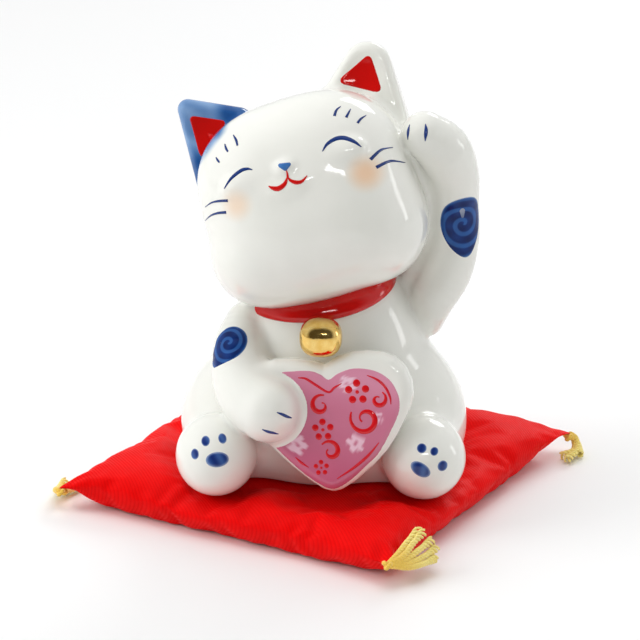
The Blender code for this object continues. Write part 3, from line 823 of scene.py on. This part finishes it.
def add_studio():
    bpy.context.scene.view_settings.view_transform = "Standard"
    world = bpy.data.worlds.new("studio")
    world.use_nodes = True
    tree = world.node_tree
    sky = tree.nodes["Background"]
    places = tree.nodes.new("ShaderNodeTexCoord").outputs["Generated"]
    facing = tree.nodes.new("ShaderNodeVectorMath")
    facing.operation = "DOT_PRODUCT"
    facing.inputs[1].default_value = DARK_SIDE
    ramp = tree.nodes.new("ShaderNodeValToRGB")
    for stop, (position, colour) in zip(ramp.color_ramp.elements, ROOM_STOPS):
        stop.position = position
        stop.color = (*colour, 1.0)
    tree.links.new(places, facing.inputs[0])
    tree.links.new(facing.outputs["Value"], ramp.inputs[0])
    tree.links.new(ramp.outputs["Color"], sky.inputs["Color"])
    sky.inputs["Strength"].default_value = ROOM_STRENGTH
    bpy.context.scene.world = world
    for name, place, width, height, power, mirrored in LAMPS:
        add_light(name, place, width, height, power, mirrored)
    mesh = bpy.data.meshes.new("floor")
    mesh.from_pydata([(-3, -3, 0), (3, -3, 0), (3, 3, 0), (-3, 3, 0)], [], [(0, 1, 2, 3)])
    floor = bpy.data.objects.new("floor", mesh)
    mesh.materials.append(Shader("pale_floor", 0.6, (0.9, 0.9, 0.9)).material)
    bpy.context.scene.collection.objects.link(floor)
    floor.location.z = -0.0002


def ear_wash(points, colours):
    """Watered cobalt over the ear on the cat's right, darker where the brush stopped."""
    local = into(points, HEAD_AT, HEAD_AXES)
    across, up = -local[:, 0], local[:, 2]
    inner = up - 17.2 + 0.55 * (across - 12.0)
    edge = step_up(inner + 0.7 * np.sin(across * 1.1 + up * 0.7), -0.6, 1.4)
    on_ear = 1 - step_up(ear(local, *EARS["right_ear"][:4]), 0.8, 4.0)
    on_brow = step_up(local[:, 1], -13.5, -10.5) * (1 - step_up(local[:, 1], 0.0, 5.0))
    cover = edge * np.maximum(on_ear, on_brow * step_up(across, 10.5, 13.5))
    stops = [np.hypot(across - stop[0], up - stop[1]) for stop in WASH_STOPS]
    pool = 1 - step_up(np.minimum(*stops), 1.5, 6.0)
    streak = 0.5 + 0.5 * np.sin(across * 1.3 - up * 0.9 + np.sin(up * 0.8))
    wash = blend_colours(COBALT_WASH, COBALT_POOL, np.clip(0.85 * pool + 0.25 * streak, 0, 1))
    return blend_colours(colours, wash, cover)


def cheeks(points, colours):
    local = into(points, HEAD_AT, HEAD_AXES)
    for centre, radius, strength in CHEEKS:
        reach = np.hypot(local[:, 0] - centre[0], local[:, 2] - centre[1]) / radius
        cover = strength * (1 - step_up(reach, 0.1, 1.0)) * (local[:, 1] < 0)
        colours = blend_colours(colours, BLUSH, cover)
    return colours


def make_figurine():
    cat = sculpt("glazed_figurine", porcelain, *FIGURINE_BOX)
    points = vertex_points(cat)
    colours = even_colour(GLAZE_WHITE, points)
    paint_points(cat, cheeks(points, ear_wash(points, colours)))
    cat.data.materials.append(GLAZE)
    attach(cat, "figurine")
    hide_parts("torso_casting", "head_casting", "raised_foreleg", "lowered_foreleg", "left_hind_foot",
                "right_hind_foot", "tail", "heart_tablet")


def plain(colour):
    return lambda plan: even_colour(colour, plan)


def make_face():
    on_head = pressed_on(head, HEAD_AT, HEAD_AXES, 26.0)
    cobalt = Film()
    for stations in BLUE_FACE_STROKES:
        cobalt.stroke(on_head, stations, LINE_BLUE, lift=0.09)
    outline, middle = rounded_outline(NOSE_CORNERS, 0.42, 32)
    cobalt.patch(on_head, outline, plain(NOSE_BLUE), rings=5, lift=0.14, middle=middle)
    cobalt.finish("cobalt_face_brushwork", GLAZE)
    red = Film()
    for stations in MOUTH_STROKES:
        red.stroke(on_head, stations, ENAMEL_RED, lift=0.11)
    red.finish("red_mouth_line", GLAZE)


def rounded_outline(corners, radius, count=60):
    """Closed outline at a distance outside a polygon, seen from its middle."""
    corners = np.array(corners, float)
    middle = corners.mean(0)
    angles = circle(count)
    headings = np.stack([np.cos(angles), np.sin(angles)], axis=1)
    reach = np.zeros(count)
    for _ in range(40):
        spots = middle + headings * reach[:, None]
        reach -= outline_distance(spots[:, 0], spots[:, 1], corners) - radius
    return middle + headings * reach[:, None], middle


def make_ear_triangles():
    for name, (side, depth, _, _, corners, rounding, _) in EARS.items():
        on_head = pressed_on(head, HEAD_AT, HEAD_AXES, 26.0, depth)
        outline, middle = rounded_outline([(side * x, z) for x, z in corners], rounding)
        film = Film()
        film.patch(on_head, outline, plain(ENAMEL_RED), rings=12, lift=0.1, middle=middle)
        film.finish(name + "_red_enamel", GLAZE)


def teardrop(width, above, below, lean, count=96):
    t = circle(count)
    rise, fall = np.maximum(np.sin(t), 0), np.maximum(-np.sin(t), 0)
    x = width * np.cos(t) * (1 - 0.35 * fall ** 1.5) + lean * fall ** 2
    return np.stack([x, above * rise - below * fall], axis=1)


def swirl_colours(width, above, below):
    """Light brush loops left in a dark cobalt drop."""
    def colours(plan):
        x, z = plan[:, 0], plan[:, 1]
        reach = np.hypot(x / width, np.where(z > 0, z / above, z / below))
        radius = np.hypot(x, z - 0.3) / width
        angle = np.arctan2(z - 0.3, x)
        arm = 0.5 + 0.5 * np.cos(2 * math.pi * radius / 0.52 - angle - 0.8)
        light = step_up(arm, 0.5, 0.88) * (1 - step_up(reach, 0.8, 0.97))
        patchy = 0.5 + 0.25 * np.sin(x * 1.7 + z * 0.9) + 0.25 * np.sin(z * 2.1 - x * 0.6)
        tone = blend_colours(COBALT_DEEP, COBALT_MID, 0.6 * patchy)
        tone = blend_colours(tone, COBALT_LIGHT, 0.62 * light)
        tone = blend_colours(tone, COBALT_HALO, 0.6 * step_up(reach, 0.84, 0.99))
        return blend_colours(tone, GLAZE_WHITE, step_up(reach, 0.95, 1.0) * 0.75)
    return colours


def make_teardrops():
    film = Film()
    for centre, turn, width, above, below, lean in TEARDROPS:
        place = wrapped_on(porcelain, centre, turn)
        film.patch(place, teardrop(width, above, below, lean), swirl_colours(width, above, below), rings=36)
    film.finish("cobalt_teardrops", painted_glaze("sunk_cobalt", gloss=0.22))


def make_paws():
    film = Film()
    for centre, stations in TOE_LINES:
        film.stroke(wrapped_on(porcelain, centre), stations, TOE_BLUE)
    for foot, centre, turn, pads in FOOT_PADS:
        place = wrapped_on(lambda points, foot=foot: ellipsoid(points, *foot), centre, turn)
        for x, z, width, height in pads:
            middle = np.array((x, z))

            def pad_colours(plan, middle=middle, size=(width, height)):
                reach = np.sqrt((((plan - middle) / size) ** 2).sum(-1))
                patchy = 0.5 + 0.5 * np.sin(plan[:, 0] * 2.2 + plan[:, 1])
                tone = blend_colours(PAD_DARK, PAD_LIGHT, patchy)
                return blend_colours(tone, PAD_EDGE, 0.9 * step_up(reach, 0.66, 1.0))
            film.patch(place, oval(width, height, 28, middle), pad_colours, rings=8, middle=middle)
    film.finish("cobalt_paw_marks", GLAZE)


def blossom_cover(plan, centre, size, turn):
    """1 inside a five-petalled blossom."""
    x, z = plan[:, 0] - centre[0], plan[:, 1] - centre[1]
    angle = np.arctan2(z, x) + turn
    petal = size * (0.58 + 0.42 * np.abs(np.cos(2.5 * angle)))
    reach = np.hypot(x, z)
    return (1 - step_up(reach, petal - 0.35, petal)) * step_up(reach, 0.25, 0.6)


def heart_colours(plan):
    x, z = plan[:, 0], plan[:, 1]
    tone = blend_colours(PINK, PINK_DEEP, step_up(-z - 0.4 * x, -2.0, 14.0) * 0.8)
    tone = blend_colours(tone, PINK_PALE, 0.45 * step_up(x * 0.3 + z, 3.0, 12.0))
    for centre, size, turn in PALE_BLOSSOMS:
        tone = blend_colours(tone, PETAL, 0.85 * blossom_cover(plan, centre, size, turn))
    return tone


def curl(centre, size, turns, start, thick):
    """Stations of a spiral brush stroke."""
    stations = []
    for step in range(14):
        share = step / 13
        angle = start + turns * 2 * math.pi * share
        reach = size * (1 - 0.75 * share)
        stations.append((centre[0] + reach * math.cos(angle), centre[1] + reach * math.sin(angle),
                         thick * (0.3 + 0.7 * math.sin(math.pi * min(share * 1.2, 1.0)))))
    return tuple(stations)


def make_heart_face():
    place = pressed_on(heart, HEART_AT, HEART_AXES, 8.0)
    closed = HEART_FACE[-1:] + HEART_FACE + HEART_FACE[:2]
    outline = smooth_path(closed, 4)[4:-5]
    face = Film()
    face.patch(place, outline, heart_colours, rings=44, lift=0.06)
    face.finish("pink_heart_enamel", GLAZE)
    motifs = Film()
    for stations in HEART_RED_STROKES:
        motifs.stroke(place, stations, BORDER_RED, lift=0.13)
    for centre, size, turns, begin, thick in CURLS:
        motifs.stroke(place, curl(centre, size, turns, begin, thick), MOTIF_RED, steps=3, lift=0.14)
    for centre, size in MOTIF_BLOSSOMS:
        for petal in range(5):
            angle = 2 * math.pi * petal / 5 + 0.3
            spot = (centre[0] + size * math.cos(angle), centre[1] + size * math.sin(angle))
            dot = oval(size * 0.52, size * 0.52, 16, spot)
            motifs.patch(place, dot, plain(MOTIF_RED), rings=3, lift=0.14, middle=spot)
        eye = oval(size * 0.3, size * 0.3, 12, centre)
        motifs.patch(place, eye, plain(MOTIF_RED), rings=2, lift=0.14, middle=centre)
    motifs.finish("red_heart_motifs", GLAZE)


def make_collar():
    """Enamelled band round the neck, raised from the body."""
    around, profile = 128, 12
    angles = circle(around)
    turns = circle(profile)
    headings = np.stack([np.cos(angles), np.sin(angles), np.zeros(around)], axis=1) @ COLLAR_AXES.T
    rows = []
    for turn in turns:
        height = COLLAR_HALF_HEIGHT * math.sin(turn)
        start = np.array(COLLAR_AT) + COLLAR_AXES[:, 2] * height + headings * 40.0
        for _ in range(60):
            start = start - 0.85 * torso(start)[:, None] * headings
        rows.append(start + headings * (COLLAR_THICKNESS * max(math.cos(turn), -0.2)))
    points = np.concatenate(rows)
    band = new_mesh("red_collar", points, wrap_faces(profile, around, closed=True))
    paint_points(band, even_colour(ENAMEL_RED, points))
    band.data.materials.append(GLAZE)
    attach(band, "figurine")
    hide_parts("collar_band")


def make_bell():
    middle = np.array(BELL_AT)
    ball = sculpt("gold_bell", bell, middle - 6.5, middle + 6.5, 0.25)
    ball.data.materials.append(gold_lustre())
    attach(ball, "figurine")
    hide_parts("bell")


def on_cushion(x, y):
    turn = math.radians(CUSHION_TURN)
    return x * math.cos(turn) - y * math.sin(turn), x * math.sin(turn) + y * math.cos(turn)


def under_cat(x, y):
    """0 under the cat, rising to 1 where the cushion stands free."""
    nearest = np.full(x.shape, DENT_FADE)
    for (cx, cy), (rx, ry) in FOOTPRINTS:
        reach = np.hypot((x - cx) / rx, (y - cy) / ry)
        nearest = np.minimum(nearest, (reach - 1) * min(rx, ry))
    return step_up(nearest, 0.0, DENT_FADE)


def cushion_sheets():
    """Grid fractions and points of the two cloth panels, top first."""
    ticks = np.linspace(-1, 1, CUSHION_CELLS + 1)
    ticks = 0.5 * ticks + 0.5 * np.sin(ticks * math.pi / 2)
    across, along = np.meshgrid(ticks, ticks, indexing="ij")
    half = CUSHION_SIDE / 2
    point = 1 + CORNER_REACH / half * np.abs(across * along) ** 10
    x, y = on_cushion(half * across * point * (1 - PULL_IN * (1 - along ** 2)),
                      half * along * point * (1 - PULL_IN * (1 - across ** 2)))
    crown = (1 - np.abs(across) ** 4) * (1 - np.abs(along) ** 4)
    free = SEAM_Z + PUFF * np.maximum(crown, 0) ** 0.6
    top = np.where(free > DENT_Z, DENT_Z + (free - DENT_Z) * under_cat(x, y), free)
    flat = (1 - np.abs(across) ** 6) * (1 - np.abs(along) ** 6)
    bottom = SEAM_Z * np.clip(1 - flat / 0.5, 0, 1) ** 2
    from_seam = half * np.minimum(1 - np.abs(across), 1 - np.abs(along))
    round_seam = np.where(np.abs(across) > np.abs(along), along, across) * half
    gather = np.sin(round_seam * 1.15 + 1.3 * np.sin(round_seam * 0.37)) * np.exp(-from_seam / 3.2)
    gather = gather * step_up(from_seam, 0, 1.2)
    return x, y, top + 0.28 * gather, bottom - 0.16 * gather


def simulate_filling(pad, held):
    """Swell the closed pad with cloth pressure and return its vertex positions."""
    group = pad.vertex_groups.new(name="held")
    group.add(held, 1.0, "REPLACE")
    cloth = pad.modifiers.new("filling", "CLOTH")
    settings = cloth.settings
    settings.quality = 6
    settings.use_pressure = True
    settings.uniform_pressure_force = 4.0
    settings.shrink_min = -0.035
    settings.vertex_group_mass = "held"
    settings.effector_weights.gravity = 0.0
    scene = bpy.context.scene
    for step in range(1, SIMULATION_STEPS + 1):
        scene.frame_set(step)
    settled = pad.evaluated_get(bpy.context.evaluated_depsgraph_get())
    points = np.array([vertex.co for vertex in settled.data.vertices])
    pad.modifiers.remove(cloth)
    scene.frame_set(1)
    return points


def subdivide(piece):
    finer = piece.modifiers.new("finer", "SUBSURF")
    finer.levels = 1
    finer.render_levels = 1
    shape = piece.evaluated_get(bpy.context.evaluated_depsgraph_get())
    piece.data = bpy.data.meshes.new_from_object(shape)
    piece.modifiers.remove(finer)


def make_cushion():
    x, y, top, bottom = cushion_sheets()
    count = CUSHION_CELLS + 1
    index = np.arange(count * count).reshape(count, count)
    rim = np.zeros((count, count), bool)
    rim[[0, -1], :] = True
    rim[:, [0, -1]] = True
    under = index.copy()
    under[~rim] = count * count + np.arange((~rim).sum())
    top[rim] = SEAM_Z
    points = np.concatenate([
        np.stack([x, y, top], axis=-1).reshape(-1, 3), np.stack([x, y, bottom], axis=-1)[~rim],
    ])
    faces = []
    for i in range(count - 1):
        for j in range(count - 1):
            faces.append((index[i, j], index[i + 1, j], index[i + 1, j + 1], index[i, j + 1]))
            faces.append((under[i, j], under[i, j + 1], under[i + 1, j + 1], under[i + 1, j]))
    cushion = new_mesh("red_twill_cushion", points, faces)
    pressed = (under_cat(points[:, 0], points[:, 1]) < 0.02) | (points[:, 2] < 0.05)
    corners = [int(index[i, j]) for i in (0, -1) for j in (0, -1)]
    held = [int(i) for i in np.flatnonzero(pressed)] + corners
    move_points(cushion, points * SIMULATION_SCALE)
    swollen = simulate_filling(cushion, held) / (MM * SIMULATION_SCALE)
    move = swollen - points
    length = np.linalg.norm(move, axis=1, keepdims=True)
    points = points + move * np.minimum(1, CUSHION_REACH / np.maximum(length, 1e-9))
    move_points(cushion, points)
    subdivide(cushion)
    points = vertex_points(cushion)
    for _ in range(3):
        push = np.clip(CUSHION_CLEARANCE - porcelain(points), 0, 2.0)
        points[:, 2] -= push * (points[:, 2] > 5.0)
    points[:, 2] = np.maximum(points[:, 2], 0.02)
    move_points(cushion, points)
    cushion.data.shade_smooth()
    cushion.data.materials.append(red_twill())
    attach(cushion, "cushion")
    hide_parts("cover_top_panel", "cover_bottom_panel", "cotton_filling")


def beside_edge(corner, direction, path):
    """Tassel stations beside the cushion edge that leaves a corner in the given direction."""
    path = np.array(path, float)
    half = CUSHION_SIDE / 2 + KNOT_OUT
    x, y = on_cushion(corner[0] * (half + path[:, 1]), corner[1] * half + direction * path[:, 0])
    return np.stack([x, y, path[:, 2]], axis=1)


def tube(path, radius, sides=7):
    """Closed tube of a given radius at each point of a path."""
    run = unit(np.gradient(path, axis=0))
    side = unit(np.cross(run, (0.13, 0.21, 0.97)))
    up = np.cross(run, side)
    turns = circle(sides)
    ring = side[:, None] * np.cos(turns)[None, :, None] + up[:, None] * np.sin(turns)[None, :, None]
    points = (path[:, None] + ring * np.reshape(radius, (-1, 1, 1))).reshape(-1, 3)
    faces = wrap_faces(len(path), sides)
    faces.append(tuple(range(sides - 1, -1, -1)))
    faces.append(tuple(range(len(points) - sides, len(points))))
    return points, faces


def plies(path, turns, spread, loose):
    """Three plies twisted round a path, opening at the cut end."""
    run = unit(np.gradient(path, axis=0))
    side = unit(np.cross(run, (0.0, 0.0, 1.0)))
    up = np.cross(run, side)
    share = np.linspace(0, 1, len(path))
    offset = spread * (1 + loose * step_up(share, 0.72, 1.0))
    for ply in range(3):
        angle = 2 * math.pi * (turns * share * (1 - 0.15 * share) + ply / 3)
        yield path + offset[:, None] * (side * np.cos(angle)[:, None] + up * np.sin(angle)[:, None])


def make_tassel(body, node, corner, direction, paths, fibre):
    film = Film()
    for order, path in enumerate(paths):
        curve = smooth_path(beside_edge(corner, direction, path), 20)
        share = np.linspace(0, 1, len(curve))
        for strand in plies(curve, 5.0 + order * 0.7, 0.36, 1.1):
            points, faces = tube(strand, 0.4 * (1 - 0.35 * share ** 3))
            tone = blend_colours(YARN_DYED, YARN_PALE, step_up(np.repeat(share, 7), 0.05, 0.8))
            film.add(points, faces, tone)
    knot_at = beside_edge(corner, direction, paths[0][:1])[0]
    t = np.linspace(0, 2 * math.pi, 72)
    knot = np.stack([
        np.sin(t) + 2 * np.sin(2 * t), np.cos(t) - 2 * np.cos(2 * t), -np.sin(3 * t) * 1.2,
    ], axis=1)
    for strand in plies(knot_at + knot * 0.36, 6.0, 0.22, 0.0):
        points, faces = tube(strand, np.full(len(t), 0.27))
        film.add(points, faces, even_colour(YARN_DYED, points))
    piece = new_mesh(body + "_yarn", np.concatenate(film.points), film.faces)
    paint_points(piece, np.concatenate(film.colours))
    piece.data.materials.append(fibre)
    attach(piece, body)
    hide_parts(node)


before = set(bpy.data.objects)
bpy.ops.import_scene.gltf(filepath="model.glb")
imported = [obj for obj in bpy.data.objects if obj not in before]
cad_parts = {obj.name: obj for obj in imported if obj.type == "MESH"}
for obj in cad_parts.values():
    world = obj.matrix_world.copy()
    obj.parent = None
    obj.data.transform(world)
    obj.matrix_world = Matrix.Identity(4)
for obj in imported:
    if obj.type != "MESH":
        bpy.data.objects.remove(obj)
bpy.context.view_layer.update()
add_camera()
add_studio()
GLAZE = painted_glaze("porcelain_glaze")
make_figurine()
make_face()
make_ear_triangles()
make_teardrops()
make_paws()
make_heart_face()
make_collar()
make_bell()
make_cushion()
YARN = spun_yarn()
for body, (node, corner, direction, paths) in TASSELS.items():
    make_tassel(body, node, corner, direction, paths, YARN)
